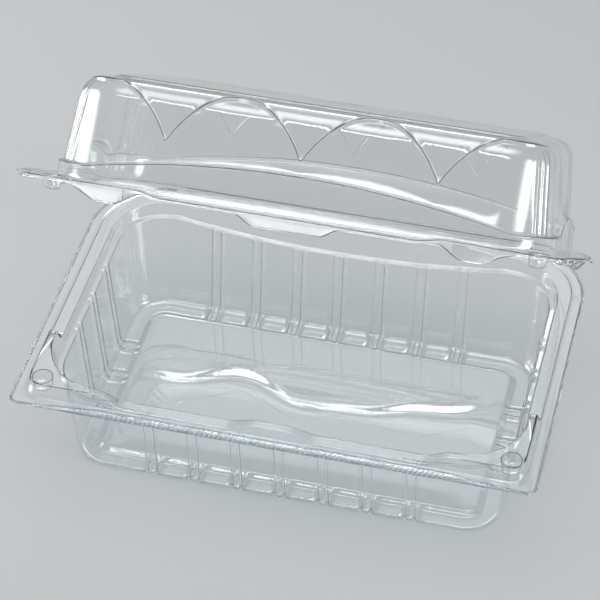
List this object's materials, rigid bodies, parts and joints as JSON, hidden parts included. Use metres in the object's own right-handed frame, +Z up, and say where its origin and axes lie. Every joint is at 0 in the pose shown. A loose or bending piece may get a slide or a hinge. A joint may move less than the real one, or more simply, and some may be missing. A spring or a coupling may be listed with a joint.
{
  "type": "hinged food pack",
  "caption": "Clear thin-walled food pack with a deep ribbed tray and a domed lid on a living hinge, with snap studs and sockets at the front corners.",
  "frame": {"origin": "middle of the underside of the tray floor", "axes": "+Z up, +X along the long side of the pack, +Y from the front opening towards the hinge"},
  "size_m": [0.231, 0.16, 0.1663],
  "materials": {
    "clear_sheet": "clear glossy sheet"
  },
  "bodies": {
    "tray_body": {"base_tray": "clear_sheet"},
    "lid_body": {"lid": "clear_sheet"}
  },
  "joints": [
    {"name": "lid_hinge", "type": "hinge", "parent": "tray_body", "child": "lid_body", "pos_m": [0, 0.07345, 0.05145], "axis": [-1, 0, 0], "range_deg": [-37.5, 142.5]}
  ]
}
